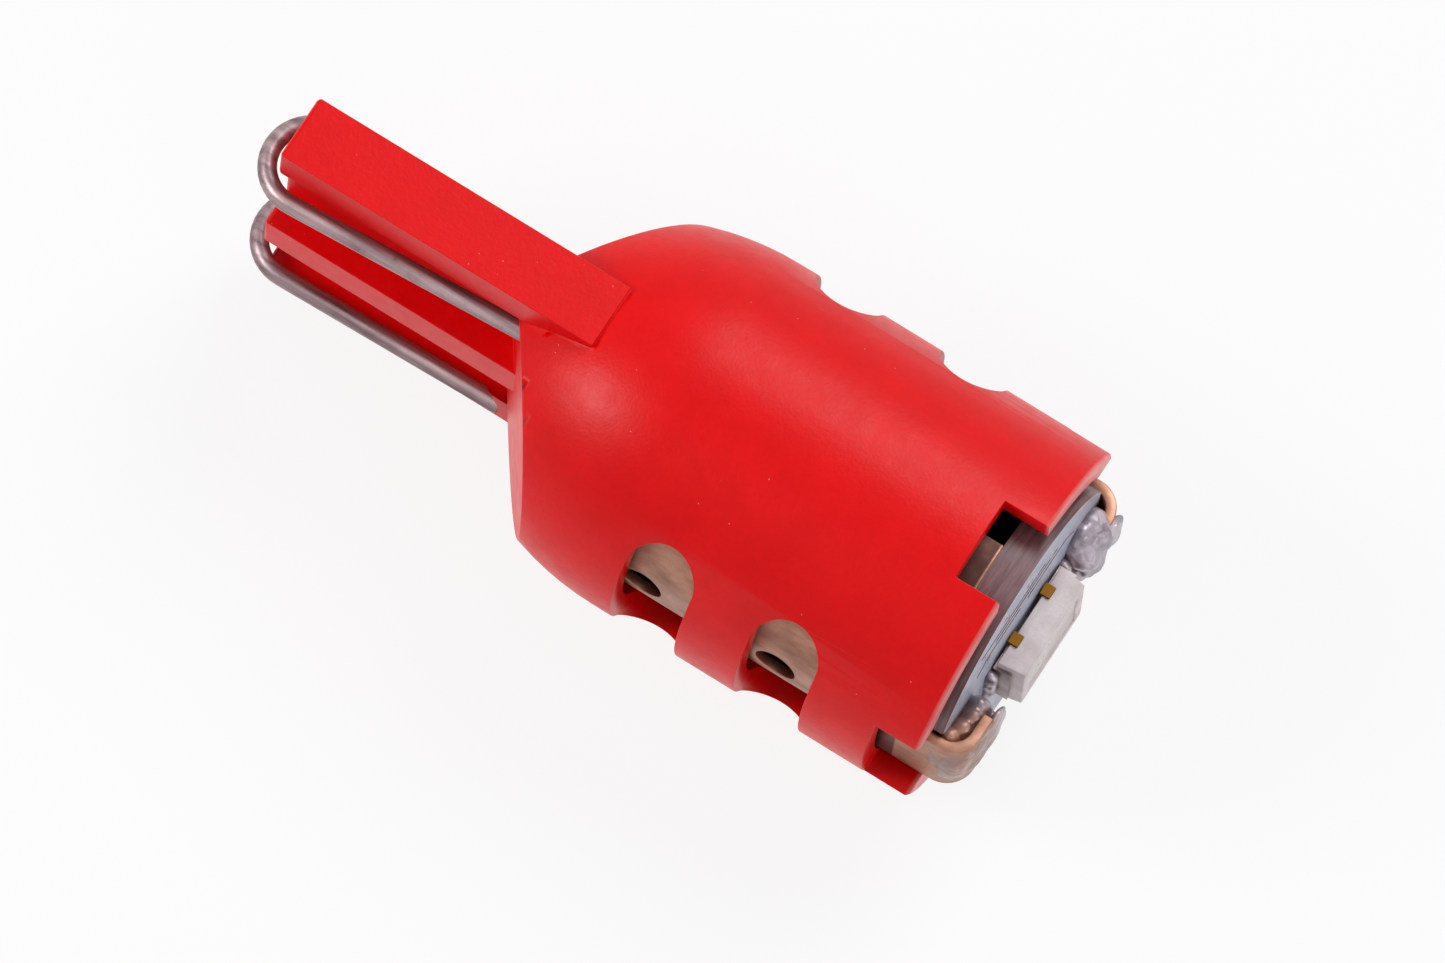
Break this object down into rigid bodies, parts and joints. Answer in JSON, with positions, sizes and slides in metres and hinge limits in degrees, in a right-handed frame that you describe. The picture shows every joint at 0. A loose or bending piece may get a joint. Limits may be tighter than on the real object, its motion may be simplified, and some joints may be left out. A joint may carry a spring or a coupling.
{
  "type": "wedge base led bulb",
  "caption": "Small wedge base LED bulb: flat plug with folded contact wires, domed vented plastic body and an LED board held by the bent claws of an inner metal tube.",
  "frame": {"origin": "on the bulb's axis, in the plane of the ends of the wedge's side rails", "axes": "+X along the bulb's axis from the wedge's tip to the LED, +Y through the wedge's thin direction, +Z across the wedge, to the edge that faces up as the bulb lies"},
  "size_m": [0.0233, 0.01, 0.01],
  "materials": {
    "red_plastic": "satin gloss moulding",
    "tinned_wire": "dull tinned",
    "copper_sheet": "dull copper",
    "white_board": "white solder mask",
    "led_moulding": "white moulding",
    "led_fill": "pale silicone",
    "die": "chip",
    "led_metal": "plated sheet",
    "solder": "solder",
    "green_board": "glass fibre board",
    "capacitor_ceramic": "ceramic",
    "resistor_body": "black film",
    "chip_case": "black epoxy"
  },
  "bodies": {
    "root": {"housing": "red_plastic", "contact_wire_front": "tinned_wire", "contact_wire_back": "tinned_wire", "heat_tube": "copper_sheet", "led_board": "white_board", "led_body": "led_moulding", "led_window": "led_fill", "led_die": "die", "led_terminal_left": "led_metal", "led_terminal_right": "led_metal", "led_solder_left": "solder", "led_solder_right": "solder", "claw_solder_left": "solder", "claw_solder_right": "solder", "driver_board": "green_board", "ceramic_capacitor": "capacitor_ceramic", "series_resistor": "resistor_body", "sense_resistor": "resistor_body", "bridge_rectifier": "chip_case", "driver_chip": "chip_case", "wire_solder_front": "solder", "wire_solder_back": "solder", "link_wire_front": "tinned_wire", "link_wire_back": "tinned_wire", "link_solder_front": "solder", "link_solder_back": "solder"}
  },
  "joints": []
}
